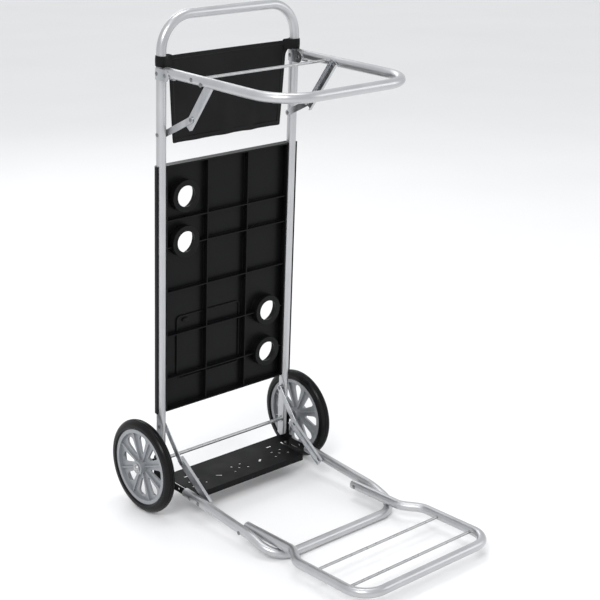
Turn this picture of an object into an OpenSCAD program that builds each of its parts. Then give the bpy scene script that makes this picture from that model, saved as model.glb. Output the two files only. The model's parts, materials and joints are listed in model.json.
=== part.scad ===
// Folding luggage cart: tube frame, drop-down arms, folding platform with a
// flip-over extension, clip-on table panel and a pair of spoked wheels.
// Drawn in the cart's own frame (uprights vertical, axle on Y = 0), then
// leaned forward about the axle onto the ground. Front is -Y, left is -X.

/* [Main frame] */
// Height of the top bar's centre above the ground line of the wheels
top_z = 1057; // [1040:1:1080]
// Half the distance between the uprights' centres
up_x = 174.5; // [174:0.5:178]
// Radius of the frame tubes
tube_r = 10; // [10]
// Wall of the frame tubes
tube_wall = 1.5; // [1.2:0.1:2]
// Bend radius of the handle, on the tube's centre
handle_bend = 70; // [60:1:80]
// Forward lean of the uprights, degrees
lean = 2.8; // [2:0.1:3]

/* [Wheels] */
// Outer radius of the tyre
wheel_r = 103; // [102:0.5:104]
// Distance from the middle plane to the middle of each wheel
wheel_x = 221.5; // [221:0.5:224]
// Width of the tyre
tyre_w = 25; // [22:1:26]
// Outer radius of the wheel's moulded rim
rim_r = 83; // [82:0.5:84]
// Number of ribs and windows round the wheel
spokes = 8; // [6:1:8]
// Radius of the axle
axle_r = 4; // [4]

/* [Platform] */
// Distance of the platform's front bar in front of the axle
plat_y = 378; // [374:1:382]
// Height of the rails where the stays hold them
rail_z = 57; // [56:0.5:58]
// Slope of the rails, degrees
rail_slope = 2.9; // [2.5:0.1:3.2]
// Bend radius of the platform's front corners
plat_bend = 50; // [46:1:52]

/* [Extension] */
// Distance of the extension's front bar in front of the axle
ext_y = 638; // [600:1:645]
// Half width of the extension's front part
ext_x = 179; // [176:0.5:182]
// Slope of the extension, degrees
ext_slope = 2.9; // [2.8:0.1:3.4]
// Bend radius of the extension's front corners
ext_bend = 48; // [40:1:60]
// Radius of the two cross wires
wire_r = 3; // [2.5:0.5:3]

/* [Arms] */
// Distance of the arm frame's front bar in front of its pivots
arm_len = 335; // [320:1:345]
// Bend radius of the arm frame's corners
arm_bend = 80; // [60:1:90]
// Rise of the arms above level, degrees
arm_rise = 1; // [0.5:0.1:1.5]

/* [Table] */
// Height of the table panel
table_h = 542; // [540:1:544]
// Height of the table panel's lower edge
table_z = 215; // [214:1:217]
// Radius of the cup wells
cup_r = 31; // [31]
// Radius of the hole in each cup's floor
cup_hole_r = 22.5; // [20:0.5:24]

/* [Hidden] */
$fn = 96;
TUBE_IN = tube_r - tube_wall;
FIT = 0.05;              // radial clearance of pins in holes
GAP = 0.3;               // clearance between parts that pass each other
PIN_R = 2.5;             // rivets and hinge pins

// flattened lower ends of the uprights
FLAT_T = 11;             // thickness along X
FLAT_W = 25;             // width along Y
FLAT_TOP = 188;          // where the flattening starts
FLAT_RUN = 24;           // length of the round-to-flat transition
UP_END = 61;             // lowest point of the uprights
V_RISE = 7;              // height of the V cut at their ends

bend_z = top_z - handle_bend;
flat_in = up_x - FLAT_T / 2;
flat_out = up_x + FLAT_T / 2;

// layers of the stays, distances from the middle plane
BAR_OUT = up_x - tube_r - 0.4;
BAR_T = 2.1;
WEB_OUT = BAR_OUT - BAR_T - 0.4;
WEB_T = 1.6;
FLANGE_H = 7;
BAR_W = 13;
CHAN_W = 18;

// pivots, [y, z] in the cart's frame
ARM_PIVOT = [-26, 946];
ARM_DROP = 5;            // pins sit this far below the arm tube's centre
UP_BAR = [1, 822];       // upper stay's pivot on the upright
UP_ELBOW = [-80, 866];
LOW_BAR = [1, 181];      // lower stay's pivot on the upright
LOW_ELBOW = [-56, 113];
RAIL_PIN = [-141, rail_z];
UP_CHAN_Y = -110;        // upper channel's pivot, from the arms' pivot
up_chan = ARM_PIVOT + UP_CHAN_Y * [cos(arm_rise), -sin(arm_rise)];
ROD_Y = -81;             // cross rod, from the arms' pivot

// platform rails
RAIL_END = -87;
RAIL_FOLD = -300;
FOLD_BEND = 120;
function rail_at(y) = rail_z + (y - RAIL_PIN.x) * tan(rail_slope);
plat_bar_z = wheel_r + (tube_r - wheel_r + plat_y * sin(lean)) / cos(lean);
dip = atan((rail_at(RAIL_FOLD) - plat_bar_z) / (plat_y + RAIL_FOLD));
dip_len = norm([plat_y + RAIL_FOLD, rail_at(RAIL_FOLD) - plat_bar_z]);

// extension, [y, z] of its pivot and its parts
EXT_PIN = [-275, 47];
ext_in_x = up_x - 2 * tube_r - 3;
ext_len = ext_y + EXT_PIN.x;
ext_bar = EXT_PIN + ext_len * [-cos(ext_slope), sin(ext_slope)];
FLARE_Y = [-122, -182];  // start and end of the flare, from the pivot
EXT_TAIL = 12;           // the rails end this far behind the pivot
WIRE_Y = [-222, -312];   // the two wires, from the pivot

// base plate and its hinge ears
PLATE_TOP = 52.5;
PLATE_T = 1.5;
PLATE_Y = [-96, 15];     // front and back edges
PLATE_X = 154;           // half width between the stays
STRIP_Y = -15;           // front of the full-width strip at the back
LIP_H = 14;
TAB_H = 15;
STRAP_STEP = -86;        // the straps are narrower in front of this
HOLES_X = 118;           // groups of holes stand this far apart
EAR_X = 180.4;
EAR_T = 2.2;
EAR_R = 15;
TAB_PIN_Y = [-8, 8];
TAB_PIN_Z = PLATE_TOP - 9;
TONGUE_X = 172;
TONGUE_END = -120;
TONGUE_Z = [50, 65];
RAIL_RIVET = [TONGUE_END + 8, 58.5];

// brackets that hold the arms
BRACKET_T = 1.8;
BRACKET_H = 24;
BRACKET_IN = tube_r + 0.2;

// table panel
TABLE_WALL = 3;
CLIP_IN = tube_r + 0.3;
LIP_Y = -5;              // front edge of the walls beside the uprights
RIB_Y = -2;              // front edge of the ribs
RIB_T = 2.4;
CUP_FLOOR_Y = -8;
CUP_X = 115;
CUP_DZ = [102, 200];
RIB_X = 54;
RIB_DZ = [-200, -103, -5, 93, 151];

// fabric panel
CLOTH_Z = [797, 979];
CLOTH_X = [142, 154];    // half width at the bottom and at the top
CLOTH_Y = 3;
CLOTH_T = 3;
SLEEVE_Z = [959, 981];

// wheels
HUB_R = 15;
HUB_X = [204, 238];
BUSH_R = 6.5;
SEAT_GAP = 0.15;
AXLE_END = 244;

// the origin is under the middle of the cart, between its front bar and tyres
front = tube_r - ext_bar.x * cos(lean) + (ext_bar.y - wheel_r) * sin(lean);
origin_y = (front - wheel_r) / 2;

ALU = [0.75, 0.76, 0.77];
STEEL = [0.66, 0.67, 0.69];
BLACK = [0.07, 0.07, 0.08];
GREY = [0.55, 0.56, 0.58];
RUBBER = [0.05, 0.05, 0.05];

// the whole cart leans forward about its axle
module leaned() {
    translate([0, origin_y, wheel_r]) rotate([lean, 0, 0]) translate([0, 0, -wheel_r])
        children();
}

// a copy on the chosen side: -1 is the left, 1 is the right
module on_side(side) {
    if (side < 0) mirror([1, 0, 0]) children();
    else children();
}

module both_sides() {
    for (side = [-1, 1]) on_side(side) children();
}

// a rod along X from x0 to x1 through [y, z]
module rod(p, r, x0, x1) {
    translate([x0, p.x, p.y]) rotate([0, 90, 0]) cylinder(r = r, h = x1 - x0);
}

// a rivet along X: a shank with a low domed head at each end asked for
module rivet(p, x0, x1, head_in = true, head_out = true, r = PIN_R) {
    head_r = r * 1.8;
    head_h = 1.6;
    rod(p, r, x0, x1);
    if (head_in)
        translate([x0, p.x, p.y]) rotate([0, -90, 0]) dome(head_r, head_h);
    if (head_out)
        translate([x1, p.x, p.y]) rotate([0, 90, 0]) dome(head_r, head_h);
}

// a cap of a sphere, base radius r and height h
module dome(r, h) {
    ball = (r * r + h * h) / (2 * h);
    intersection() {
        translate([0, 0, h - ball]) sphere(r = ball);
        cylinder(r = r + 1, h = h);
    }
}

// lengths of tube laid end to end: each runs along -Y from where it is placed
// and carries what follows at its far end
module straight(r, len) {
    rotate([90, 0, 0]) cylinder(r = r, h = len);
    translate([0, -len, 0]) children();
}

// a bend towards +X, or towards -X for a negative angle
module turn(r, bend, angle) {
    side = sign(angle);
    translate([side * bend, 0, 0]) {
        rotate([0, 0, side > 0 ? 180 : angle]) rotate_extrude(angle = abs(angle))
            translate([bend, 0]) rotate(side > 0 ? 180 : 0) circle(r = r);
        rotate([0, 0, angle]) translate([-side * bend, 0, 0]) children();
    }
}

// a U of tube: legs from leg_y to the bends, bar at -len; all at z = 0
module u_tube(r, half, leg_y, len, bend) {
    both_sides() translate([half, leg_y, 0])
        straight(r, len - bend + leg_y) turn(r, bend, -90);
    rod([-len, 0], r, -(half - bend), half - bend);
}

// a tube swept through rings, each [place, turn about Z, dip about X]
module swept(r, path) {
    sides = 28;
    last = len(path) - 1;
    points = [for (q = path, k = [0 : sides - 1])
        let (a = k * 360 / sides, x = r * cos(a), z = r * sin(a), y = -z * sin(q[2]))
        q[0] + [x * cos(q[1]) - y * sin(q[1]), x * sin(q[1]) + y * cos(q[1]), z * cos(q[2])]];
    faces = [for (i = [0 : last - 1], k = [0 : sides - 1]) let (n = (k + 1) % sides)
        [(i + 1) * sides + k, (i + 1) * sides + n, i * sides + n, i * sides + k]];
    ends = [[for (k = [0 : sides - 1]) k], [for (k = [sides - 1 : -1 : 0]) last * sides + k]];
    polyhedron(points, concat(faces, ends), convexity = 4);
}

// a slot shape, t by w, long side along Y
module flat_oval(t, w) {
    square([t, w - t], center = true);
    for (s = [-1, 1]) translate([0, s * (w - t) / 2]) circle(d = t);
}

/* main frame */
module handle_solid(wall) {
    r = tube_r - wall;
    both_sides() {
        translate([up_x, 0, FLAT_TOP + FLAT_RUN])
            cylinder(r = r, h = bend_z - FLAT_TOP - FLAT_RUN);
        translate([up_x - handle_bend, 0, bend_z]) rotate([90, 0, 0])
            rotate_extrude(angle = 90) translate([handle_bend, 0]) circle(r = r);
        hull() {
            translate([up_x, 0, FLAT_TOP + FLAT_RUN]) cylinder(r = r, h = 0.01, $fn = 48);
            translate([up_x, 0, FLAT_TOP]) linear_extrude(0.01)
                flat_oval(FLAT_T - 2 * wall, FLAT_W - 2 * wall, $fn = 48);
        }
        translate([up_x, 0, UP_END - wall]) linear_extrude(FLAT_TOP - UP_END + wall)
            flat_oval(FLAT_T - 2 * wall, FLAT_W - 2 * wall);
    }
    rod([0, top_z], r, -(up_x - handle_bend), up_x - handle_bend);
}

// the V that the uprights' lower ends are cut to
module v_cut(below) {
    both_sides() for (s = [0, 1]) mirror([0, s, 0])
        translate([flat_in - 1, 0, UP_END - below]) rotate([atan(2 * V_RISE / FLAT_W), 0, 0])
            translate([0, -1, -20]) cube([FLAT_T + 2, FLAT_W, 20]);
}

module handle_frame() color(ALU) leaned() difference() {
    handle_solid(0);
    handle_solid(tube_wall);
    v_cut(0);
    both_sides() {
        rod([0, wheel_r], axle_r + FIT, flat_in - 1, flat_out + 1);
        for (p = [LOW_BAR, UP_BAR, [0, ARM_PIVOT.y]])
            rod(p, PIN_R + FIT, up_x - tube_r - 1, up_x + tube_r + 1);
    }
}

// plugs that close the V-cut ends
module upright_plugs() color(BLACK) leaned() both_sides() difference() {
    translate([up_x, 0, UP_END - 1]) linear_extrude(14)
        flat_oval(FLAT_T - 2 * tube_wall - 0.2, FLAT_W - 2 * tube_wall - 0.2);
    v_cut(0);
}

module arm_bracket(side) color(STEEL) leaned() on_side(side) {
    reach = -ARM_PIVOT.x;
    translate([up_x, 0, ARM_PIVOT.y - BRACKET_H / 2]) difference() {
        linear_extrude(BRACKET_H) difference() {
            union() {
                circle(r = BRACKET_IN + BRACKET_T);
                translate([-BRACKET_IN - BRACKET_T, -reach])
                    square([2 * (BRACKET_IN + BRACKET_T), reach]);
            }
            circle(r = BRACKET_IN);
            translate([-BRACKET_IN, -reach - 1]) square([2 * BRACKET_IN, reach + 1]);
        }
        for (y = [0, -reach]) translate([-20, y, BRACKET_H / 2])
            rotate([0, 90, 0]) cylinder(r = PIN_R + FIT, h = 40);
    }
    for (x = [up_x - BRACKET_IN - BRACKET_T, up_x + BRACKET_IN]) difference() {
        rod(ARM_PIVOT, BRACKET_H / 2, x, x + BRACKET_T);
        translate([x - 1, ARM_PIVOT.x, ARM_PIVOT.y - 20]) cube([BRACKET_T + 2, 40, 40]);
        rod(ARM_PIVOT, PIN_R + FIT, x - 1, x + BRACKET_T + 1);
    }
}
module arm_bracket_left() arm_bracket(-1);
module arm_bracket_right() arm_bracket(1);

bracket_out = BRACKET_IN + BRACKET_T + 0.05;

module bracket_rivets() color(STEEL) leaned() both_sides()
    rivet([0, ARM_PIVOT.y], up_x - bracket_out, up_x + bracket_out);

module arm_pivot_pins() color(STEEL) leaned() both_sides()
    rivet(ARM_PIVOT, up_x - bracket_out, up_x + bracket_out);

module upper_stay_pins() color(STEEL) leaned() both_sides()
    rivet(UP_BAR, BAR_OUT - BAR_T - 0.1, up_x + tube_r + 0.05);
module lower_stay_pins() color(STEEL) leaned() both_sides() {
    rivet(LOW_BAR, BAR_OUT - BAR_T - 0.1, flat_out + 0.05);
    rod(LOW_BAR, 5, BAR_OUT + 0.1, flat_in - 0.1);
}

/* axle and wheels */
module axle() color(STEEL) leaned() rod([0, wheel_r], axle_r, -AXLE_END, AXLE_END);

// retaining rings on the axle, inside each upright
module axle_clips() color(STEEL) leaned() both_sides() difference() {
    rod([0, wheel_r], 7, flat_in - 3.1, flat_in - 0.1);
    rod([0, wheel_r], axle_r + 0.02, flat_in - 4, flat_in);
}

// sleeves between the hinge ears and the hubs
module axle_spacers() color(BLACK) leaned() both_sides() difference() {
    rod([0, wheel_r], 8, EAR_X + EAR_T + GAP, HUB_X[0] - GAP);
    rod([0, wheel_r], axle_r + 0.02, EAR_X, HUB_X[0]);
}

module push_nuts() color(STEEL) leaned() both_sides() difference() {
    union() {
        rod([0, wheel_r], 9, HUB_X[1] + GAP, HUB_X[1] + 1.5);
        translate([HUB_X[1] + 1.5, 0, wheel_r]) rotate([0, 90, 0]) dome(7, 5);
    }
    rod([0, wheel_r], axle_r + 0.02, HUB_X[1], AXLE_END);
}

// turns a shape drawn round Z to lie round the axle, at its own x
module on_axle() {
    translate([0, 0, wheel_r]) rotate([0, 90, 0]) children();
}

// one window: round outside, narrowing towards the hub
module window() {
    big = 11;
    small = 4;
    far = 59;
    near = 33;
    tilt = asin((big - small) / (far - near));
    translate([far, 0]) circle(r = big);
    translate([near, 0]) circle(r = small);
    polygon([for (s = [1, -1], k = (s > 0 ? [0, 1] : [1, 0]))
        let (r = k > 0 ? big : small, x = k > 0 ? far : near)
        [x - r * sin(tilt), s * r * cos(tilt)]]);
}

module wheel(side) color(GREY) leaned() on_side(side) on_axle() {
    rim_in = 75;
    width = 20;
    web = 5;
    difference() {
        union() {
            rotate_extrude() {
                translate([rim_in, wheel_x - width / 2]) square([rim_r - 2 - rim_in, width]);
                for (s = [-1, 1]) translate([rim_r - 4, wheel_x + s * (width / 2 - 1.5) - 1.5])
                    square([4, 3]);
                translate([BUSH_R + 1, wheel_x - web / 2]) square([rim_in - BUSH_R, web]);
                translate([BUSH_R + 0.02, HUB_X[0]]) square([HUB_R - BUSH_R, HUB_X[1] - HUB_X[0]]);
            }
            for (k = [0 : spokes - 1]) rotate([0, 0, (k + 0.5) * 360 / spokes])
                translate([HUB_R - 1, -1.5, wheel_x - 7]) cube([rim_in - HUB_R + 2, 3, 14]);
        }
        for (k = [0 : spokes - 1]) rotate([0, 0, k * 360 / spokes])
            translate([0, 0, wheel_x - 10]) linear_extrude(20) window();
    }
}
module wheel_left() wheel(-1);
module wheel_right() wheel(1);

module tyre(side) color(RUBBER) leaned() on_side(side) on_axle() rotate_extrude() {
    crown = tyre_w / 2;
    translate([0, wheel_x]) difference() {
        union() {
            translate([wheel_r - crown, 0]) circle(r = crown);
            translate([rim_r + SEAT_GAP, -crown]) square([wheel_r - crown - rim_r - SEAT_GAP, tyre_w]);
        }
        translate([rim_r + SEAT_GAP - 20, -crown - 1]) square([20, tyre_w + 2]);
    }
}
module tyre_left() tyre(-1);
module tyre_right() tyre(1);

module hub_bush(side) color(BLACK) leaned() on_side(side) difference() {
    rod([0, wheel_r], BUSH_R, HUB_X[0], HUB_X[1]);
    rod([0, wheel_r], axle_r + FIT, HUB_X[0] - 1, HUB_X[1] + 1);
}
module hub_bush_left() hub_bush(-1);
module hub_bush_right() hub_bush(1);

/* platform */
drop = dip - rail_slope;
fold_cut = ceil(FOLD_BEND * tan(drop / 2)) + 1;

// places what is drawn along a rail from its rear end
module at_rail() {
    translate([0, RAIL_END, rail_at(RAIL_END)]) rotate([rail_slope, 0, 0]) children();
}

module platform_rails() color(ALU) leaned() both_sides() difference() {
    len = (RAIL_END - RAIL_FOLD) / cos(rail_slope) - fold_cut;
    translate([up_x, 0, 0]) at_rail() {
        difference() {
            straight(tube_r, len);
            translate([0, 1, 0]) straight(TUBE_IN, len + 2);
        }
    }
    for (p = [RAIL_PIN, EXT_PIN, RAIL_RIVET])
        rod(p, PIN_R + FIT, up_x - tube_r - 1, up_x + tube_r + 1);
}

// the bends where the rails dip to the floor
module platform_bends() color(ALU) leaned() both_sides()
    translate([up_x, RAIL_FOLD, rail_at(RAIL_FOLD)]) rotate([rail_slope, 0, 0])
        translate([0, fold_cut, 0]) difference() {
            dip_bend(tube_r, 0);
            dip_bend(TUBE_IN, 0.5);
        }

module dip_bend(r, past) {
    steps = 6;
    lead = fold_cut - FOLD_BEND * tan(drop / 2);
    far = [0, -lead - FOLD_BEND * sin(drop), -FOLD_BEND * (1 - cos(drop))];
    swept(r, concat(
        [[[0, past, 0], 0, 0]],
        [for (i = [0 : steps]) let (b = drop * i / steps)
            [[0, -lead - FOLD_BEND * sin(b), -FOLD_BEND * (1 - cos(b))], 0, b]],
        [[far - [0, cos(drop), sin(drop)] * (lead + past), 0, drop]]));
}

module platform_frame() color(ALU) leaned()
    translate([0, RAIL_FOLD, rail_at(RAIL_FOLD)]) rotate([dip, 0, 0]) difference() {
        u_tube(tube_r, up_x, -fold_cut, dip_len, plat_bend);
        u_tube(TUBE_IN, up_x, 1 - fold_cut, dip_len, plat_bend);
    }

// pressed plate with a down-turned front lip and side tabs
module base_plate() color(BLACK) leaned() difference() {
    strip = EAR_X - 0.1;
    union() {
        translate([-PLATE_X, PLATE_Y[0], PLATE_TOP - PLATE_T])
            cube([2 * PLATE_X, PLATE_Y[1] - PLATE_Y[0], PLATE_T]);
        translate([-PLATE_X, PLATE_Y[0], PLATE_TOP - LIP_H])
            cube([2 * PLATE_X, PLATE_T, LIP_H]);
        translate([-strip, STRIP_Y, PLATE_TOP - PLATE_T])
            cube([2 * strip, PLATE_Y[1] - STRIP_Y, PLATE_T]);
        both_sides() translate([strip - PLATE_T, STRIP_Y, PLATE_TOP - TAB_H])
            cube([PLATE_T, PLATE_Y[1] - STRIP_Y, TAB_H]);
    }
    both_sides() for (y = TAB_PIN_Y) rod([y, TAB_PIN_Z], 1.5 + FIT, EAR_X - 4, EAR_X + 1);
    for (k = [-1 : 1]) translate([k * HOLES_X, -55, 0]) hole_group();
    for (side = [-1, 1]) {
        plate_slot(side * HOLES_X, -18, 0);
        plate_slot(side * HOLES_X / 2, -57, side * 40);
    }
}

// five small holes, closer together at the back than at the front
module hole_group() {
    for (d = [[0, -1], [-12, 12], [12, 12], [-18, -10], [18, -10]])
        translate([d.x, d.y, PLATE_TOP - 5]) cylinder(r = 2.8, h = 10);
}

module plate_slot(x, y, angle) {
    translate([x, y, PLATE_TOP - 5]) rotate([0, 0, angle]) linear_extrude(10)
        rotate(90) flat_oval(5, 15);
}

// strap that hangs the platform from the axle and runs into the rail
module hinge_ear(side) color(BLACK) leaned() on_side(side) difference() {
    low = PLATE_TOP - TAB_H;
    union() {
        rod([0, wheel_r], EAR_R, EAR_X, EAR_X + EAR_T);
        translate([EAR_X, -EAR_R, low]) cube([EAR_T, 2 * EAR_R, wheel_r - low]);
        translate([EAR_X, -24, low]) cube([EAR_T, 24, TONGUE_Z[1] - low]);
        translate([0, 0, TONGUE_Z[0]]) linear_extrude(TONGUE_Z[1] - TONGUE_Z[0]) polygon([
            [EAR_X, -23], [EAR_X, -25], [TONGUE_X, -33], [TONGUE_X, TONGUE_END],
            [TONGUE_X + EAR_T, TONGUE_END], [TONGUE_X + EAR_T, -34],
            [EAR_X + EAR_T, -26], [EAR_X + EAR_T, -23]]);
    }
    rod([0, wheel_r], axle_r + FIT, EAR_X - 1, EAR_X + EAR_T + 1);
    for (y = TAB_PIN_Y) rod([y, TAB_PIN_Z], 1.5 + FIT, EAR_X - 1, EAR_X + EAR_T + 1);
    rod(RAIL_RIVET, PIN_R + FIT, TONGUE_X - 1, EAR_X);
    rod([-62, 58], 3, TONGUE_X - 1, EAR_X);
    // the end that runs inside the round rail is narrower
    for (z = [TONGUE_Z[0] - 1, 64.5])
        translate([TONGUE_X - 1, TONGUE_END - 1, z]) cube([5, -TONGUE_END + STRAP_STEP + 1, 3]);
}
module hinge_ear_left() hinge_ear(-1);
module hinge_ear_right() hinge_ear(1);

module ear_rivets() color(STEEL) leaned() both_sides() for (y = TAB_PIN_Y)
    rivet([y, TAB_PIN_Z], EAR_X - PLATE_T - 0.15, EAR_X + EAR_T + 0.05, r = 1.5);

module rail_rivets() color(STEEL) leaned() both_sides()
    rivet(RAIL_RIVET, up_x - tube_r - 0.05, up_x + tube_r + 0.05);

module lower_channel_pins() color(STEEL) leaned() both_sides()
    rivet(RAIL_PIN, WEB_OUT - WEB_T - 0.1, up_x + tube_r + 0.05);

module extension_pins() color(STEEL) leaned() both_sides()
    rivet(EXT_PIN, ext_in_x - tube_r - 0.1, up_x + tube_r + 0.05);

/* extension */
// a point's place and heading along the flare, t from 0 at the rails to 1 at the frame
function flare_at(t) = let (u = min(max(t, 0), 1))
    [ext_in_x + (ext_x - ext_in_x) * u * u * (3 - 2 * u),
        FLARE_Y[0] + (FLARE_Y[1] - FLARE_Y[0]) * t, 0];
function flare_turn(t) = let (u = min(max(t, 0), 1))
    atan(6 * u * (1 - u) * (ext_x - ext_in_x) / (FLARE_Y[0] - FLARE_Y[1]));

module flare(r, past) {
    rings = 10;
    swept(r, [for (i = [0 : rings]) let (t = -past + (1 + 2 * past) * i / rings)
        [flare_at(t), flare_turn(t), 0]]);
}

// places what is drawn round the extension's pivot
module at_extension() {
    translate([0, EXT_PIN.x, EXT_PIN.y]) rotate([-ext_slope, 0, 0]) children();
}

module extension_rails() color(ALU) leaned() at_extension() both_sides() difference() {
    translate([ext_in_x, EXT_TAIL, 0]) straight(tube_r, EXT_TAIL - FLARE_Y[0]);
    translate([ext_in_x, EXT_TAIL + 1, 0]) straight(TUBE_IN, EXT_TAIL - FLARE_Y[0] + 2);
    rod([0, 0], PIN_R + FIT, ext_in_x - tube_r - 1, ext_in_x + tube_r + 1);
}

module extension_flares() color(ALU) leaned() at_extension() both_sides() difference() {
    flare(tube_r, 0);
    flare(TUBE_IN, 0.02);
}

module extension_frame() color(ALU) leaned() at_extension() difference() {
    u_tube(tube_r, ext_x, FLARE_Y[1], ext_len, ext_bend);
    u_tube(TUBE_IN, ext_x, FLARE_Y[1] + 1, ext_len, ext_bend);
    both_sides() for (y = WIRE_Y)
        rod([y, 0], wire_r + FIT, ext_x - tube_r - 1, ext_x - 4);
}

module wire(y) color(STEEL) leaned() at_extension() rod([y, 0], wire_r, 5 - ext_x, ext_x - 5);
module rear_wire() wire(WIRE_Y[0]);
module front_wire() wire(WIRE_Y[1]);

/* arms */
module at_arms() {
    translate([0, ARM_PIVOT.x, ARM_PIVOT.y]) rotate([-arm_rise, 0, 0])
        translate([0, 0, ARM_DROP]) children();
}

module arm_frame() color(ALU) leaned() at_arms() difference() {
    u_tube(tube_r, up_x, 9, arm_len, arm_bend);
    u_tube(TUBE_IN, up_x, 10, arm_len, arm_bend);
    both_sides() {
        for (y = [0, UP_CHAN_Y]) rod([y, -ARM_DROP], PIN_R + FIT, up_x - tube_r - 1, up_x + tube_r + 1);
        rod([ROD_Y, 0], wire_r + FIT, up_x - tube_r - 1, up_x - 4);
        rod([ROD_Y, 0], PIN_R + FIT, up_x, up_x + tube_r + 1);
    }
}

module arm_cross_rod() color(STEEL) leaned() at_arms()
    rod([ROD_Y, 0], wire_r, 5 - up_x, up_x - 5);

module cross_rod_rivets() color(STEEL) leaned() at_arms() both_sides()
    rivet([ROD_Y, 0], up_x - 4.9, up_x + tube_r + 0.05, head_in = false);

module upper_channel_pins() color(STEEL) leaned() at_arms() both_sides()
    rivet([UP_CHAN_Y, -ARM_DROP], WEB_OUT - WEB_T - 0.1, up_x + tube_r + 0.05);

/* stays: a flat bar on the upright and a channel on the moving frame */
// draws along +Y from p towards q, in the plane of the stays
module along(p, q) {
    translate([0, p.x, p.y]) rotate([atan2(q.y - p.y, q.x - p.x), 0, 0]) children();
}

module flat_bar(side, p, q) color(STEEL) leaned() on_side(side) along(p, q) {
    len = norm(q - p);
    translate([BAR_OUT - BAR_T, 0, 0]) rotate([90, 0, 90]) linear_extrude(BAR_T) difference() {
        translate([len / 2, 0]) rotate(90) flat_oval(BAR_W, len + BAR_W);
        for (x = [0, len]) translate([x, 0]) circle(r = PIN_R + FIT);
    }
}

module channel(side, p, q, past) color(STEEL) leaned() on_side(side) difference() {
    len = norm(q - p);
    along(p, q) union() {
        translate([WEB_OUT - WEB_T, -9, -CHAN_W / 2]) cube([WEB_T, len + 9 + past, CHAN_W]);
        for (z = [-CHAN_W / 2, CHAN_W / 2 - WEB_T])
            translate([WEB_OUT - FLANGE_H, -9, z]) cube([FLANGE_H, len + 9 + past, WEB_T]);
    }
    for (e = [p, q]) rod(e, PIN_R + FIT, WEB_OUT - WEB_T - 1, WEB_OUT + 1);
}

module bar_rivets(q) color(STEEL) leaned() both_sides()
    rivet(q, BAR_OUT - BAR_T + 0.05, BAR_OUT + 0.05, head_in = false);
module channel_rivets(q) color(STEEL) leaned() both_sides()
    rivet(q, WEB_OUT - WEB_T - 0.05, WEB_OUT - 0.05, head_out = false);

module upper_bar_left() flat_bar(-1, UP_BAR, UP_ELBOW);
module upper_bar_right() flat_bar(1, UP_BAR, UP_ELBOW);
module upper_bar_rivets() bar_rivets(UP_ELBOW);
module upper_channel_left() channel(-1, up_chan, UP_ELBOW, 22);
module upper_channel_right() channel(1, up_chan, UP_ELBOW, 22);
module upper_channel_rivets() channel_rivets(UP_ELBOW);
module lower_bar_left() flat_bar(-1, LOW_BAR, LOW_ELBOW);
module lower_bar_right() flat_bar(1, LOW_BAR, LOW_ELBOW);
module lower_bar_rivets() bar_rivets(LOW_ELBOW);
module lower_channel_left() channel(-1, RAIL_PIN, LOW_ELBOW, 11);
module lower_channel_right() channel(1, RAIL_PIN, LOW_ELBOW, 11);
module lower_channel_rivets() channel_rivets(LOW_ELBOW);

/* table panel and fabric */
module table_panel() color(BLACK) leaned() {
    out = CLIP_IN + TABLE_WALL;
    inner_x = up_x - out;
    mid = table_z + table_h / 2;
    difference() {
        union() {
            // skin, which is the table top and faces back
            translate([-up_x, CLIP_IN, table_z]) cube([2 * up_x, TABLE_WALL, table_h]);
            // grooves round the uprights, open to the front
            both_sides() translate([up_x, 0, table_z]) linear_extrude(table_h) difference() {
                union() {
                    circle(r = out);
                    translate([-out, LIP_Y]) square([2 * out, -LIP_Y]);
                }
                circle(r = CLIP_IN);
                translate([-CLIP_IN, -2 * out]) square([2 * CLIP_IN, 2 * out]);
                translate([-2 * out, -3 * out + LIP_Y]) square([4 * out, 3 * out]);
            }
            // edge walls and ribs
            for (z = [table_z, table_z + table_h - TABLE_WALL])
                translate([-inner_x - 1, LIP_Y, z]) cube([2 * inner_x + 2, CLIP_IN - LIP_Y + 1, TABLE_WALL]);
            for (z = RIB_DZ)
                translate([-inner_x - 1, RIB_Y, mid + z]) cube([2 * inner_x + 2, CLIP_IN - RIB_Y + 1, RIB_T]);
            for (x = [-RIB_X, RIB_X])
                translate([x - RIB_T / 2, RIB_Y, table_z + 1]) cube([RIB_T, CLIP_IN - RIB_Y + 1, table_h - 2]);
            for (s = [-1, 1], dz = CUP_DZ)
                cup(s, mid - s * dz, cup_r + TABLE_WALL, CUP_FLOOR_Y, CLIP_IN + TABLE_WALL);
        }
        for (s = [-1, 1], dz = CUP_DZ) {
            cup(s, mid - s * dz, cup_r, CUP_FLOOR_Y + 2.5, CLIP_IN + TABLE_WALL + 1);
            cup(s, mid - s * dz, cup_hole_r, CUP_FLOOR_Y - 1, 0);
        }
    }
}

// a cylinder along Y from y0 to y1 at one cup's place
module cup(s, z, r, y0, y1) {
    translate([s * CUP_X, y1, z]) rotate([90, 0, 0]) cylinder(r = r, h = y1 - y0);
}

// cloth between the uprights, held by a sleeve round each of them
module fabric_panel() color(BLACK) leaned() {
    translate([0, CLOTH_Y + CLOTH_T, 0]) rotate([90, 0, 0]) linear_extrude(CLOTH_T) polygon([
        [-CLOTH_X[0], CLOTH_Z[0]], [CLOTH_X[0], CLOTH_Z[0]], [CLOTH_X[1], SLEEVE_Z[0]],
        [up_x - tube_r - 1, SLEEVE_Z[0]], [up_x - tube_r - 1, CLOTH_Z[1]],
        [-(up_x - tube_r - 1), CLOTH_Z[1]], [-(up_x - tube_r - 1), SLEEVE_Z[0]],
        [-CLOTH_X[1], SLEEVE_Z[0]]]);
    both_sides() translate([up_x, 0, SLEEVE_Z[0]]) difference() {
        cylinder(r = tube_r + 2.5, h = SLEEVE_Z[1] - SLEEVE_Z[0]);
        translate([0, 0, -1]) cylinder(r = tube_r + 0.3, h = SLEEVE_Z[1] - SLEEVE_Z[0] + 2);
    }
}

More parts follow.
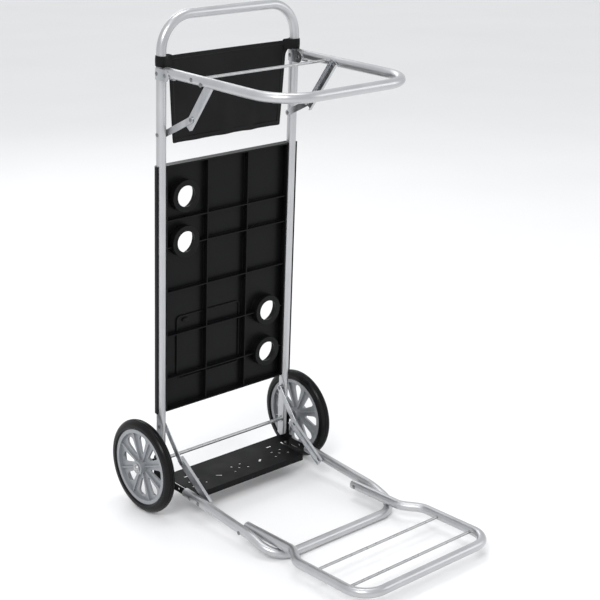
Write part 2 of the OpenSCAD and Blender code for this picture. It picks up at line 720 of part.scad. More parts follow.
handle_frame();
upright_plugs();
arm_bracket_left();
arm_bracket_right();
bracket_rivets();
arm_pivot_pins();
upper_stay_pins();
lower_stay_pins();
axle();
axle_clips();
axle_spacers();
push_nuts();
fabric_panel();
wheel_left();
tyre_left();
hub_bush_left();
wheel_right();
tyre_right();
hub_bush_right();
platform_rails();
platform_bends();
platform_frame();
base_plate();
hinge_ear_left();
hinge_ear_right();
ear_rivets();
rail_rivets();
lower_channel_pins();
extension_pins();
extension_rails();
extension_flares();
extension_frame();
rear_wire();
front_wire();
arm_frame();
arm_cross_rod();
cross_rod_rivets();
upper_channel_pins();
upper_bar_left();
upper_bar_right();
upper_bar_rivets();
upper_channel_left();
upper_channel_right();
upper_channel_rivets();
lower_bar_left();
lower_bar_right();
lower_bar_rivets();
lower_channel_left();
lower_channel_right();
lower_channel_rivets();
table_panel();
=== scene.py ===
import json
import math

import bmesh
import bpy
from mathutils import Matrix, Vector

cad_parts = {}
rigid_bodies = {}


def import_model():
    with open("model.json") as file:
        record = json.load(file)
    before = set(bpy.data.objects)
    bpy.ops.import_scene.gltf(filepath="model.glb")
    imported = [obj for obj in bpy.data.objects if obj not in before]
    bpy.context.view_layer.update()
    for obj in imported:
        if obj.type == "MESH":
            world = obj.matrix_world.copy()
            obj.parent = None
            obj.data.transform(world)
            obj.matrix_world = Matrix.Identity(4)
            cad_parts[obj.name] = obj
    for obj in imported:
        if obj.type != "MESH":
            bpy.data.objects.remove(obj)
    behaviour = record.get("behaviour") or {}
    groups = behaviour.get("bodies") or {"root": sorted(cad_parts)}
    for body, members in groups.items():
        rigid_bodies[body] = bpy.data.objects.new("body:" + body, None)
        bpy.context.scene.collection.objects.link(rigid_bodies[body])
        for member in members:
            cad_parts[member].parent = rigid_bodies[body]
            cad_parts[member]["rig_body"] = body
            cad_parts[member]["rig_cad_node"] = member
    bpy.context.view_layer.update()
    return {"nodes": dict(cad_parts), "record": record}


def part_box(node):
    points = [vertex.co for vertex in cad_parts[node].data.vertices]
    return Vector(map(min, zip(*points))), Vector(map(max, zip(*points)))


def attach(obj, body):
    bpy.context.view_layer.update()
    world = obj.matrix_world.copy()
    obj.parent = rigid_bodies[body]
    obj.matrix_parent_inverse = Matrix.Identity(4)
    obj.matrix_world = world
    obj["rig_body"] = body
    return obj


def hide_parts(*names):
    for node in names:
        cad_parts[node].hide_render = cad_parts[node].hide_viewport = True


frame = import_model()
nodes = frame["nodes"]
print("frame loaded:", len(nodes), "nodes")

# what the whole cart shares
cart = {
    "leanDegrees": 2.8,      # the uprights lean forward
    "tubeRadius": 0.010,
    "uprightX": 0.1745,      # half distance between the uprights
}
lean = math.radians(cart["leanDegrees"])
axleLow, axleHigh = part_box("axle")
axle = (axleLow + axleHigh) / 2


def placeOnCart(x, y, z):
    # a place beside the upright cart, y from the axle and z from the floor, leaned as the cart is
    up = z - axle.z
    return Vector((x, axle.y + y * math.cos(lean) - up * math.sin(lean),
                   axle.z + y * math.sin(lean) + up * math.cos(lean)))


# helpers
def deselectAll():
    if bpy.context.object and bpy.context.object.mode != "OBJECT":
        bpy.ops.object.mode_set(mode="OBJECT")
    bpy.ops.object.select_all(action="DESELECT")


def makeActive(piece):
    deselectAll()
    piece.hide_viewport = False
    piece.select_set(True)
    bpy.context.view_layer.objects.active = piece


def applyAll(piece):
    makeActive(piece)
    for modifier in list(piece.modifiers):
        bpy.ops.object.modifier_apply(modifier=modifier.name)


def applyPlace(piece):
    makeActive(piece)
    bpy.ops.object.transform_apply(location=True, rotation=True, scale=True)


def smoothByAngle(piece, degrees):
    makeActive(piece)
    bpy.ops.object.shade_smooth_by_angle(angle=math.radians(degrees))


def setMaterial(piece, material):
    piece.data.materials.clear()
    piece.data.materials.append(material)


def outwardNormals(piece):
    makeActive(piece)
    bpy.ops.object.mode_set(mode="EDIT")
    bpy.ops.mesh.select_all(action="SELECT")
    bpy.ops.mesh.remove_doubles(threshold=0.00002)
    bpy.ops.mesh.normals_make_consistent(inside=False)
    bpy.ops.object.mode_set(mode="OBJECT")


def newMesh(name, points, faces):
    mesh = bpy.data.meshes.new(name)
    mesh.from_pydata([tuple(p) for p in points], [], faces)
    mesh.update()
    piece = bpy.data.objects.new(name, mesh)
    bpy.context.scene.collection.objects.link(piece)
    return piece


# materials
looks = {
    # tones and rough are the two ends of a cloudy pattern, grain a fine bump in metres
    "silverTube": {"metallic": 0.9, "tones": ((0.46, 0.465, 0.475), (0.53, 0.535, 0.545)), "rough": (0.30, 0.42),
                   "cloudScale": 14, "grainScale": 2600, "grain": 0.00006, "coat": (0.15, 0.25)},
    "zincSheet": {"metallic": 0.95, "tones": ((0.40, 0.41, 0.43), (0.54, 0.55, 0.56)), "rough": (0.26, 0.42),
                  "cloudScale": 60, "grainScale": 1800, "grain": 0.00005, "stretch": (1, 1, 0.25)},
    "brightSteel": {"metallic": 1.0, "tones": ((0.38, 0.385, 0.39), (0.48, 0.485, 0.49)), "rough": (0.24, 0.36),
                    "cloudScale": 90, "grainScale": 2400, "grain": 0.00004},
    "rivetSteel": {"metallic": 1.0, "tones": ((0.17, 0.17, 0.175), (0.26, 0.26, 0.265)), "rough": (0.24, 0.38),
                   "cloudScale": 120, "grainScale": 2400, "grain": 0.00004},
    "blackSteel": {"metallic": 0.0, "tones": ((0.0035, 0.0035, 0.004), (0.0055, 0.0055, 0.006)),
                   "rough": (0.42, 0.56), "cloudScale": 22, "grainScale": 1500, "grain": 0.00012, "specular": 0.1},
    "blackPlastic": {"metallic": 0.0, "tones": ((0.003, 0.003, 0.0034), (0.005, 0.0052, 0.0055)),
                     "rough": (0.3, 0.42), "cloudScale": 9, "grainScale": 1900, "grain": 0.00008,
                     "specular": 0.12},
    "greyPlastic": {"metallic": 0.25, "tones": ((0.25, 0.26, 0.275), (0.30, 0.31, 0.325)), "rough": (0.3, 0.42),
                    "cloudScale": 18, "grainScale": 1700, "grain": 0.00005},
    "tyreRubber": {"metallic": 0.0, "tones": ((0.004, 0.004, 0.0045), (0.007, 0.007, 0.0075)),
                   "rough": (0.26, 0.40), "cloudScale": 30, "grainScale": 1200, "grain": 0.0001,
                   "specular": 0.1, "coat": (0.12, 0.16)},
    "threadBlack": {"metallic": 0.0, "tones": ((0.008, 0.008, 0.009), (0.016, 0.016, 0.018)), "rough": (0.42, 0.6),
                    "cloudScale": 900, "grainScale": 4000, "grain": 0.00005},
}


def startMaterial(name, metallic, roughness):
    material = bpy.data.materials.new(name)
    material.use_nodes = True
    tree = material.node_tree
    shader = tree.nodes["Principled BSDF"]
    shader.inputs["Metallic"].default_value = metallic
    shader.inputs["Roughness"].default_value = roughness
    place = tree.nodes.new("ShaderNodeTexCoord")
    return material, tree, shader, place.outputs["Object"]


def noise(tree, place, scale, detail=3.0, stretch=(1, 1, 1)):
    mapping = tree.nodes.new("ShaderNodeMapping")
    mapping.inputs["Scale"].default_value = stretch
    tree.links.new(place, mapping.inputs["Vector"])
    texture = tree.nodes.new("ShaderNodeTexNoise")
    texture.inputs["Scale"].default_value = scale
    texture.inputs["Detail"].default_value = detail
    tree.links.new(mapping.outputs["Vector"], texture.inputs["Vector"])
    return texture.outputs["Fac"]


def spread(tree, value, low, high, fromLow=0.3, fromHigh=0.7):
    remap = tree.nodes.new("ShaderNodeMapRange")
    remap.inputs["From Min"].default_value = fromLow
    remap.inputs["From Max"].default_value = fromHigh
    remap.inputs["To Min"].default_value = low
    remap.inputs["To Max"].default_value = high
    tree.links.new(value, remap.inputs["Value"])
    return remap.outputs["Result"]


def colourRamp(tree, value, stops):
    ramp = tree.nodes.new("ShaderNodeValToRGB")
    while len(ramp.color_ramp.elements) < len(stops):
        ramp.color_ramp.elements.new(0.5)
    for element, (position, colour) in zip(ramp.color_ramp.elements, stops):
        element.position = position
        element.color = (*colour, 1)
    tree.links.new(value, ramp.inputs["Fac"])
    return ramp.outputs["Color"]


def addBump(tree, shader, height, strength, distance):
    bump = tree.nodes.new("ShaderNodeBump")
    bump.inputs["Strength"].default_value = strength
    bump.inputs["Distance"].default_value = distance
    tree.links.new(height, bump.inputs["Height"])
    tree.links.new(bump.outputs["Normal"], shader.inputs["Normal"])


def makeFinish(name):
    look = looks[name]
    material, tree, shader, place = startMaterial(name, look["metallic"], look["rough"][0])
    stretch = look.get("stretch", (1, 1, 1))
    cloud = noise(tree, place, look["cloudScale"], 4.0, stretch)
    tones = [(0.3, look["tones"][0]), (0.7, look["tones"][1])]
    tree.links.new(colourRamp(tree, cloud, tones), shader.inputs["Base Color"])
    tree.links.new(spread(tree, cloud, *look["rough"]), shader.inputs["Roughness"])
    addBump(tree, shader, noise(tree, place, look["grainScale"], 2.0, stretch), 0.35, look["grain"])
    if "specular" in look:
        shader.inputs["Specular IOR Level"].default_value = look["specular"]
    if "coat" in look:
        shader.inputs["Coat Weight"].default_value = look["coat"][0]
        shader.inputs["Coat Roughness"].default_value = look["coat"][1]
    return material


weave = {
    "pitch": 0.0011,         # from thread to thread
    "tones": ((0.003, 0.003, 0.0034), (0.009, 0.009, 0.0098)),
    "depth": 0.00018,
}


def wovenBlack():
    material, tree, shader, place = startMaterial("wovenBlack", 0.0, 0.62)
    waves = []
    for direction in ("X", "Z"):
        wave = tree.nodes.new("ShaderNodeTexWave")
        wave.wave_type = "BANDS"
        wave.bands_direction = direction
        wave.inputs["Scale"].default_value = 2 * math.pi / (20 * weave["pitch"])
        wave.inputs["Distortion"].default_value = 0.6
        wave.inputs["Detail Scale"].default_value = 1.5
        tree.links.new(place, wave.inputs["Vector"])
        waves.append(wave.outputs["Fac"])
    crossed = tree.nodes.new("ShaderNodeMath")
    crossed.operation = "MULTIPLY"
    tree.links.new(waves[0], crossed.inputs[0])
    tree.links.new(waves[1], crossed.inputs[1])
    cloud = noise(tree, place, 12, 4.0)
    shade = tree.nodes.new("ShaderNodeMath")
    shade.operation = "MULTIPLY_ADD"
    shade.inputs[1].default_value = 0.55
    tree.links.new(crossed.outputs[0], shade.inputs[0])
    tree.links.new(spread(tree, cloud, 0.0, 0.45), shade.inputs[2])
    tones = [(0.0, weave["tones"][0]), (1.0, weave["tones"][1])]
    tree.links.new(colourRamp(tree, shade.outputs[0], tones), shader.inputs["Base Color"])
    shader.inputs["Specular IOR Level"].default_value = 0.16
    shader.inputs["Sheen Weight"].default_value = 0.02
    shader.inputs["Sheen Roughness"].default_value = 0.4
    addBump(tree, shader, crossed.outputs[0], 0.5, weave["depth"])
    return material


def paleFloor():
    material, tree, shader, place = startMaterial("paleFloor", 0.0, 0.6)
    cloud = noise(tree, place, 1.5, 2.0)
    tones = [(0.3, (0.90, 0.90, 0.90)), (0.7, (0.92, 0.92, 0.92))]
    tree.links.new(colourRamp(tree, cloud, tones), shader.inputs["Base Color"])
    return material


finish = {
    "tube_aluminium": makeFinish("silverTube"),
    "zinc_steel": makeFinish("zincSheet"),
    "bright_steel": makeFinish("brightSteel"),
    "black_steel": makeFinish("blackSteel"),
    "black_plastic": makeFinish("blackPlastic"),
    "grey_plastic": makeFinish("greyPlastic"),
    "tyre_rubber": makeFinish("tyreRubber"),
    "black_fabric": wovenBlack(),
}
thread = makeFinish("threadBlack")
rivet = makeFinish("rivetSteel")
slotOf = {row["node"]: row["material_slot"] for row in frame["record"]["subparts"]}
for name, node in nodes.items():
    fastener = name.endswith(("_rivets", "_pins"))
    setMaterial(node, rivet if fastener else finish[slotOf[name]])
print("materials made")


# camera, light and floor
camera = {
    "back": 2.4018,          # metres from the axle, forward and to the left
    "side": 1.9312,
    "height": 1.4414,
    "azimuth": -41.97,
    "elevation": 18.24,
    "lens": 89.78,
}


def addCamera():
    bpy.ops.object.camera_add(location=(-camera["side"], axle.y - camera["back"], camera["height"]),
                              rotation=(math.radians(90 - camera["elevation"]), 0, math.radians(camera["azimuth"])))
    eye = bpy.context.object
    eye.name = "viewCamera"
    eye.data.lens = camera["lens"]
    eye.data.sensor_width = 36
    eye.data.dof.use_dof = False
    bpy.context.scene.camera = eye


studio = {
    "aim": (0, 0, 0.5),
    "world": ((0.97, 0.98, 1.0, 1), 0.85),
    # place, size and power of each soft light
    "keyLight": ((-2.6, -1.6, 3.0), (1.3, 1.3), 60),
    "fillLight": ((2.6, -2.2, 1.7), (1.6, 1.6), 14),
    "topLight": ((0.2, 0.4, 3.4), (1.6, 1.2), 20),
    "backLight": ((1.2, 3.0, 2.2), (1.6, 1.4), 16),
}


def addSoftLight(name):
    place, size, power = studio[name]
    bpy.ops.object.light_add(type="AREA", location=place)
    lamp = bpy.context.object
    lamp.name = name
    lamp.data.shape = "RECTANGLE"
    lamp.data.size, lamp.data.size_y = size
    lamp.data.energy = power
    lamp.rotation_euler = (Vector(studio["aim"]) - Vector(place)).to_track_quat("-Z", "Y").to_euler()


def addStudio():
    bpy.ops.mesh.primitive_plane_add(size=30, location=(0, 0, 0))
    floor = bpy.context.object
    floor.name = "studioFloor"
    setMaterial(floor, paleFloor())
    world = bpy.data.worlds.new("studio")
    bpy.context.scene.world = world
    world.use_nodes = True
    colour, strength = studio["world"]
    world.node_tree.nodes["Background"].inputs["Color"].default_value = colour
    world.node_tree.nodes["Background"].inputs["Strength"].default_value = strength
    bpy.context.scene.view_settings.view_transform = "Standard"
    for name in ("keyLight", "fillLight", "topLight", "backLight"):
        addSoftLight(name)


addCamera()
addStudio()
print("camera and studio ready")


# rounded edges of sheet and moulded parts
edge = {
    "sheet": 0.0004,         # rounding of bent sheet steel
    "wheel": 0.0007,
    "table": 0.0009,
    "segments": 2,
}
bothSides = ("hinge_ear", "arm_bracket", "upper_bar", "lower_bar", "upper_channel", "lower_channel", "wheel")
bodies = frame["record"]["behaviour"]["bodies"]
bodyOf = {member: body for body, members in bodies.items() for member in members}


def roundedCopy(name, width):
    makeActive(nodes[name])
    bpy.ops.object.duplicate()
    piece = bpy.context.object
    piece.name = name + "_rounded"
    piece.parent = None
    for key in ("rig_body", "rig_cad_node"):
        if key in piece:
            del piece[key]
    bpy.ops.object.mode_set(mode="EDIT")
    bpy.ops.mesh.select_all(action="SELECT")
    bpy.ops.mesh.remove_doubles(threshold=0.00001)
    bpy.ops.mesh.customdata_custom_splitnormals_clear()
    bpy.ops.mesh.dissolve_limited(angle_limit=math.radians(1.0))
    bpy.ops.object.mode_set(mode="OBJECT")
    bevel = piece.modifiers.new("roundedEdges", "BEVEL")
    bevel.width = width
    bevel.segments = edge["segments"]
    bevel.limit_method = "ANGLE"
    bevel.angle_limit = math.radians(40)
    bevel.use_clamp_overlap = True
    weighted = piece.modifiers.new("evenShading", "WEIGHTED_NORMAL")
    weighted.keep_sharp = True
    smoothByAngle(piece, 35)
    applyAll(piece)
    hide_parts(name)
    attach(piece, bodyOf[name])
    return piece


roundedCopy("table_panel", edge["table"])
for kind in bothSides:
    for side in ("_left", "_right"):
        roundedCopy(kind + side, edge["wheel"] if kind == "wheel" else edge["sheet"])
print("edges rounded")


# tyres
tyre = {
    "outer": 0.103,
    "seat": 0.0832,          # radius where it sits on the rim
    "halfWidth": 0.0125,
    "grooves": (-0.0045, 0.0, 0.0045),
    "grooveDepth": 0.0012,
    "grooveHalf": 0.0007,
    "steps": 128,
}


def tyreSection():
    # places round the section as (across the tyre, radius): the crown's arc with its grooves, then the beads
    half, grooveHalf = tyre["halfWidth"], tyre["grooveHalf"]
    crown = tyre["outer"] - half
    arc = [-half * math.cos(math.pi * k / 18) for k in range(19)]
    clear = [across for across in arc if min(abs(across - g) for g in tyre["grooves"]) > grooveHalf * 1.5]
    section = [(across, crown + math.sqrt(half ** 2 - across ** 2)) for across in clear]
    for middle in tyre["grooves"]:
        for offset, share in ((-1.4, 0), (-1, 1), (1, 1), (1.4, 0)):
            across = middle + offset * grooveHalf
            section.append((across, crown + math.sqrt(half ** 2 - across ** 2) - share * tyre["grooveDepth"]))
    bead = half - 0.0016
    rib = [(half - 0.0002, crown - 0.0022), (half + 0.0003, crown - 0.0032), (half - 0.0010, crown - 0.0046),
           (bead, tyre["seat"] + 0.0012), (bead - 0.0012, tyre["seat"])]
    return [(-across, out) for across, out in reversed(rib)] + sorted(section) + rib


def addTyre(side, name):
    low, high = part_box(name)
    middle = (low + high) / 2
    section = [(middle.x + across, middle.y, middle.z + out) for across, out in tyreSection()]
    piece = newMesh("tyre" + side, section, [])
    makeActive(piece)
    bpy.ops.object.mode_set(mode="EDIT")
    outline = bmesh.from_edit_mesh(piece.data)
    corners = list(outline.verts)
    for start, end in zip(corners, corners[1:] + corners[:1]):
        outline.edges.new((start, end))
    bmesh.update_edit_mesh(piece.data)
    bpy.ops.mesh.select_all(action="SELECT")
    bpy.ops.mesh.spin(steps=tyre["steps"], angle=2 * math.pi, center=middle, axis=(1, 0, 0))
    bpy.ops.object.mode_set(mode="OBJECT")
    outwardNormals(piece)
    smoothByAngle(piece, 40)
    setMaterial(piece, finish["tyre_rubber"])
    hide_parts(name)
    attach(piece, bodyOf[name])


addTyre("Left", "tyre_left")
addTyre("Right", "tyre_right")
print("tyres made")


# fabric panel
cloth = {
    "top": 0.978,
    "bottom": 0.799,
    "halfTop": 0.154,
    "halfBottom": 0.142,
    "y": 0.0035,             # behind the uprights' middle plane
    "sag": 0.0035,
    "pull": (0.0011, 0.045), # depth and reach of the pulls beside the sleeves
    "ripple": 0.0004,
    "thick": 0.0013,
    "tuck": ((-0.146, 0.974), (-0.128, 0.936)),
    "tuckDepth": 0.0032,
    "sleeveLow": 0.9595,
    "sleeveHigh": 0.9805,
    "sleeveGap": 0.0006,
    "hem": 0.009,
    "flareFrom": 0.944,      # the side edges curve out to the sleeves above this height
    "halfFlare": 0.1635,
    "columns": 64,
    "rows": 44,
}


def clothEdge(height):
    share = (height - cloth["bottom"]) / (cloth["top"] - cloth["bottom"])
    half = cloth["halfBottom"] + (cloth["halfTop"] - cloth["halfBottom"]) * share ** 0.8
    if height <= cloth["flareFrom"]:
        return half
    rise = min(1, (height - cloth["flareFrom"]) / (cloth["sleeveLow"] + 0.001 - cloth["flareFrom"]))
    return half + (cloth["halfFlare"] - half) * (1 - math.sqrt(max(0, 1 - rise ** 2)))


def clothDepth(x, height):
    share = (height - cloth["bottom"]) / (cloth["top"] - cloth["bottom"])
    across = x / cloth["halfTop"]
    bow = cloth["sag"] * (1 - across * across) * math.sin(math.pi * (0.15 + 0.85 * (1 - share)) * 0.9)
    # pulls that run from the sleeves into the panel
    pull = 0.0
    for side in (-1, 1):
        reach = math.hypot((x - side * cloth["halfTop"]) * 1.1, (height - 0.970) * 0.9)
        slope = math.atan2(0.970 - height, abs(x - side * cloth["halfTop"]) + 0.000001)
        pull += cloth["pull"][0] * math.exp(-reach / cloth["pull"][1]) * math.cos(slope * 7)
    ripple = cloth["ripple"] * math.sin(x * 41 + height * 17) * (1 - share)
    (startX, startZ), (endX, endZ) = cloth["tuck"]
    run = Vector((endX - startX, endZ - startZ))
    reach = Vector((x - startX, height - startZ))
    along = min(1, max(0, reach.dot(run) / run.length_squared))
    away = (reach - run * along).length
    tuck = cloth["tuckDepth"] * (1 - along) * math.exp(-(away / 0.0045) ** 2)
    return cloth["y"] + bow + pull + ripple - tuck


def clothSheet():
    points, faces = [], []
    columns, rows = cloth["columns"], cloth["rows"]
    for j in range(rows + 1):
        height = cloth["bottom"] + (cloth["top"] - cloth["bottom"]) * j / rows
        edgeX = clothEdge(height)
        for i in range(columns + 1):
            x = edgeX * (2 * i / columns - 1)
            lift = 0.0006 * math.sin(i * 0.37) if j == 0 else 0
            points.append((x, clothDepth(x, height), height + lift))
    for j in range(rows):
        for i in range(columns):
            a = j * (columns + 1) + i
            faces.append((a, a + 1, a + columns + 2, a + columns + 1))
    return newMesh("fabricPanel", points, faces)


def settleCloth(piece):
    # a short hanging simulation, held along the top and at the sleeves
    group = piece.vertex_groups.new(name="held")
    rows, columns = cloth["rows"], cloth["columns"]
    for index, vertex in enumerate(piece.data.vertices):
        row, column = divmod(index, columns + 1)
        nearSide = min(column, columns - column)
        if row == rows or (row > rows - 5 and nearSide < 2):
            group.add([index], 1.0, "REPLACE")
    settle = piece.modifiers.new("settle", "CLOTH")
    settle.settings.vertex_group_mass = "held"
    settle.settings.quality = 6
    settle.settings.mass = 0.25
    settle.settings.tension_stiffness = 30
    settle.settings.compression_stiffness = 30
    settle.settings.shear_stiffness = 12
    settle.settings.bending_stiffness = 6
    settle.collision_settings.use_self_collision = False
    before = [v.co.copy() for v in piece.data.vertices]
    for step in range(1, 19):
        bpy.context.scene.frame_set(step)
    makeActive(piece)
    bpy.ops.object.modifier_apply(modifier=settle.name)
    bpy.context.scene.frame_set(1)
    cap = 0.004
    for vertex, start in zip(piece.data.vertices, before):
        move = vertex.co - start
        if move.length > cap:
            vertex.co = start + move * (cap / move.length)


def leanPiece(piece):
    for vertex in piece.data.vertices:
        vertex.co = placeOnCart(*vertex.co)


def thicken(piece, amount):
    makeActive(piece)
    shell = piece.modifiers.new("thickness", "SOLIDIFY")
    shell.thickness = amount
    shell.offset = 0
    bpy.ops.object.modifier_apply(modifier=shell.name)


def dressMainFrame(piece, material):
    setMaterial(piece, material)
    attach(piece, "main_frame")


def strip(name, line, width, count, thick):
    # a flat hem band along a line of places on the cloth; width runs towards the panel's middle
    points, faces = [], []
    for start, inward in line:
        for k in range(count + 1):
            share = k / count
            x = start[0] + inward[0] * width * share
            height = start[1] + inward[1] * width * share
            crown = thick * 0.5 * math.sin(math.pi * share)
            points.append((x, clothDepth(x, height) - thick - crown, height))
    for j in range(len(line) - 1):
        for k in range(count):
            a = j * (count + 1) + k
            faces.append((a, a + 1, a + count + 2, a + count + 1))
    return newMesh(name, points, faces)


def hemLines():
    top, bottom = cloth["top"], cloth["bottom"]
    lines = []
    steps = 40
    for side in (-1, 1):
        heights = [bottom + (top - bottom) * k / steps for k in range(steps + 1)]
        lines.append([((side * (clothEdge(h) - 0.0004), h), (-side, 0)) for h in heights])
    for height, inward in ((bottom + 0.0003, 1), (top - 0.0003, -1)):
        half = clothEdge(height) - 0.0004
        lines.append([((half * (2 * k / steps - 1), height), (0, inward)) for k in range(steps + 1)])
    return lines


stitch = {
    "pitch": 0.0036,
    "length": 0.0026,
    "halfWidth": 0.00028,
    "thick": 0.0004,
}


def addStitches(name, lines):
    # one long piece of short raised stitches beside the hems' inner edges
    points, faces = [], []
    pitch, length, half = stitch["pitch"], stitch["length"], stitch["halfWidth"]
    for line in lines:
        path = [(s[0] + i[0] * cloth["hem"] * 0.8, s[1] + i[1] * cloth["hem"] * 0.8) for s, i in line]
        for (x0, z0), (x1, z1) in zip(path, path[1:]):
            run = math.hypot(x1 - x0, z1 - z0)
            along = ((x1 - x0) / run, (z1 - z0) / run)
            for k in range(max(1, int(run / pitch))):
                t = k * pitch
                base = len(points)
                for end, rise in ((0, 0.2), (length / 2, 1.0), (length, 0.2)):
                    for sideways in (-1, 1):
                        x = x0 + along[0] * (t + end) - along[1] * sideways * half
                        height = z0 + along[1] * (t + end) + along[0] * sideways * half
                        points.append((x, clothDepth(x, height) - 0.0019 - 0.0004 * rise, height))
                faces += [(base, base + 1, base + 3, base + 2), (base + 2, base + 3, base + 5, base + 4)]
    piece = newMesh(name, points, faces)
    leanPiece(piece)
    thicken(piece, stitch["thick"])
    dressMainFrame(piece, thread)
    return piece


def sleeveLine(side):
    # plan of the sleeve: from the panel's face round the upright and back to the panel
    tube = cart["tubeRadius"] + cloth["sleeveGap"] + 0.0006
    centre = side * cart["uprightX"]
    inner = side * (cart["uprightX"] - 0.027)
    line = [(inner, cloth["y"] - 0.0016), (inner + side * 0.008, cloth["y"] - 0.004)]
    for k in range(29):
        angle = math.radians(-150 + 300 * k / 28)
        line.append((centre + side * tube * math.cos(angle), tube * math.sin(angle)))
    line += [(inner + side * 0.008, cloth["y"] + 0.004), (inner, cloth["y"] + 0.0016)]
    return line


def addSleeve(name, side):
    line = sleeveLine(side)
    rows = 6
    points, faces = [], []
    for j in range(rows + 1):
        share = j / rows
        height = cloth["sleeveLow"] + (cloth["sleeveHigh"] - cloth["sleeveLow"]) * share
        swell = 0.0006 * math.sin(math.pi * share)
        for x, y in line:
            away = Vector((x - side * cart["uprightX"], y)).normalized() * swell
            points.append((x + away.x, y + away.y, height + 0.0005 * math.sin(x * 190)))
    count = len(line)
    for j in range(rows):
        for i in range(count - 1):
            a = j * count + i
            faces.append((a, a + 1, a + count + 1, a + count))
    piece = newMesh(name, points, faces)
    leanPiece(piece)
    makeActive(piece)
    smooth = piece.modifiers.new("softer", "SUBSURF")
    smooth.levels = smooth.render_levels = 1
    bpy.ops.object.modifier_apply(modifier=smooth.name)
    thicken(piece, 0.0011)
    smoothByAngle(piece, 60)
    dressMainFrame(piece, finish["black_fabric"])
    return piece


def addFabric():
    panel = clothSheet()
    settleCloth(panel)
    leanPiece(panel)
    makeActive(panel)
    softer = panel.modifiers.new("softer", "SUBSURF")
    softer.levels = softer.render_levels = 1
    bpy.ops.object.modifier_apply(modifier=softer.name)
    thicken(panel, cloth["thick"])
    smoothByAngle(panel, 60)
    dressMainFrame(panel, finish["black_fabric"])
    lines = hemLines()
    for label, line in zip(("hemLeft", "hemRight", "hemBottom", "hemTop"), lines):
        hem = strip(label, line, cloth["hem"], 4, 0.0011)
        leanPiece(hem)
        thicken(hem, 0.0009)
        smoothByAngle(hem, 60)
        dressMainFrame(hem, finish["black_fabric"])
    addStitches("fabricStitches", lines)
    addSleeve("sleeveLeft", -1)
    addSleeve("sleeveRight", 1)
    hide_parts("fabric_panel")


addFabric()
print("fabric panel made")


# table details
table = {
    "frontY": 0.0103,        # front of the skin
    "middleHeight": 0.486,
    "wellX": 0.115,
    "wellFromMiddle": (0.102, 0.200),
    "wellFrontY": -0.008,
    "wellRadius": 0.034,
    "holeRadius": 0.0225,
    "lip": 0.0014,           # radius of the rounded rings on the wells
    "ringRise": 0.0003,      # how far they stand proud
    "trayMiddle": (-0.0415, 0.3475),
    "traySize": (0.173, 0.145),
    "trayCorner": 0.010,
    "trayRim": 0.0030,
    "trayRise": 0.0030,
    "catch": (-0.103, 0.408),
}


def rideTable(piece):
    setMaterial(piece, finish["black_plastic"])
    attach(piece, "table")


def standOnCart(piece, x, y, z, turn=0.0):
    # turned about X from its own frame, then leaned with the cart and put in its place
    piece.rotation_euler = (lean + turn, 0, 0)
    piece.location = placeOnCart(x, y, z)
    applyPlace(piece)


def addWellRing(name, x, z, y, radius, thick):
    bpy.ops.mesh.primitive_torus_add(major_radius=radius, minor_radius=thick,
                                     major_segments=72, minor_segments=10)
    ring = bpy.context.object
    ring.name = name
    standOnCart(ring, x, y, z, math.radians(90))
    smoothByAngle(ring, 60)
    rideTable(ring)


def addTray():
    bpy.ops.mesh.primitive_plane_add(size=1)
    tray = bpy.context.object
    tray.name = "trayOutline"
    tray.scale = (*table["traySize"], 1)
    applyPlace(tray)
    makeActive(tray)
    bpy.ops.object.mode_set(mode="EDIT")
    bpy.ops.mesh.select_all(action="SELECT")
    bpy.ops.mesh.bevel(offset=table["trayCorner"], segments=6, affect="VERTICES")
    bpy.ops.mesh.select_all(action="SELECT")
    bpy.ops.mesh.inset(thickness=table["trayRim"])
    bpy.ops.mesh.delete(type="ONLY_FACE")
    bpy.ops.object.mode_set(mode="OBJECT")
    standOnCart(tray, table["trayMiddle"][0], table["frontY"] - table["trayRise"] / 2, table["trayMiddle"][1],
                math.radians(90))
    thicken(tray, table["trayRise"] + 0.0004)
    outwardNormals(tray)
    soft = tray.modifiers.new("softEdges", "BEVEL")
    soft.width, soft.segments = 0.0004, 2
    applyAll(tray)
    smoothByAngle(tray, 40)
    rideTable(tray)


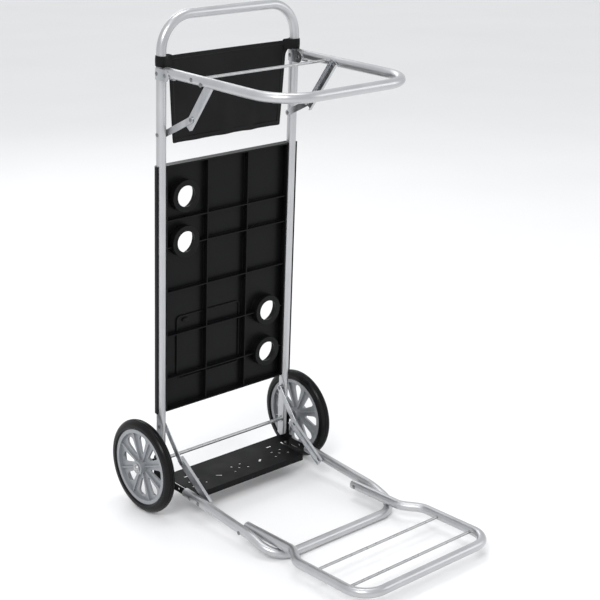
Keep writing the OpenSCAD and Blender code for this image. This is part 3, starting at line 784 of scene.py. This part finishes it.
def addCatch():
    bpy.ops.mesh.primitive_cylinder_add(vertices=40, radius=0.006, depth=0.0036)
    catch = bpy.context.object
    catch.name = "trayCatch"
    catch.scale = (1.5, 0.8, 1)
    applyPlace(catch)
    soft = catch.modifiers.new("softEdges", "BEVEL")
    soft.width, soft.segments = 0.0008, 3
    applyAll(catch)
    standOnCart(catch, table["catch"][0], table["frontY"] - 0.0016, table["catch"][1], math.radians(90))
    smoothByAngle(catch, 40)
    rideTable(catch)


for side, label in ((-1, "Left"), (1, "Right")):
    for gap, place in zip(table["wellFromMiddle"], ("Inner", "Outer")):
        height = table["middleHeight"] - side * gap
        ringY = table["wellFrontY"] + table["lip"] - table["ringRise"]
        addWellRing("wellEdge" + label + place, side * table["wellX"], height, ringY,
                    table["wellRadius"] - table["lip"], table["lip"])
        addWellRing("holeEdge" + label + place, side * table["wellX"], height, ringY,
                    table["holeRadius"] + table["lip"], table["lip"])
addTray()
addCatch()
print("table details made")


# end plugs of the extension's rails
plug = {
    "radius": 0.0088,
    "depth": 0.003,
    "dimple": 0.0035,        # a blind hole in the middle of each
}


def addRailPlug(side, label):
    low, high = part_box("extension_rails")
    bpy.ops.mesh.primitive_cylinder_add(vertices=48, radius=plug["radius"], depth=plug["depth"])
    piece = bpy.context.object
    piece.name = "railPlug" + label
    makeActive(piece)
    bpy.ops.object.mode_set(mode="EDIT")
    picker = bmesh.from_edit_mesh(piece.data)
    for face in picker.faces:
        face.select_set(face.normal.z > 0.9)
    bmesh.update_edit_mesh(piece.data)
    bpy.ops.mesh.inset(thickness=plug["radius"] - plug["dimple"])
    bpy.ops.transform.translate(value=(0, 0, -plug["depth"] * 0.5))
    bpy.ops.object.mode_set(mode="OBJECT")
    soft = piece.modifiers.new("softEdges", "BEVEL")
    soft.width, soft.segments = 0.0005, 2
    applyAll(piece)
    middle = (low + high) / 2
    piece.rotation_euler = (math.radians(-90), 0, 0)
    piece.location = (side * (high.x - cart["tubeRadius"]), high.y - plug["depth"] * 0.3, middle.z)
    applyPlace(piece)
    smoothByAngle(piece, 40)
    setMaterial(piece, finish["black_plastic"])
    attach(piece, "extension")


addRailPlug(-1, "Left")
addRailPlug(1, "Right")
print("rail plugs made")
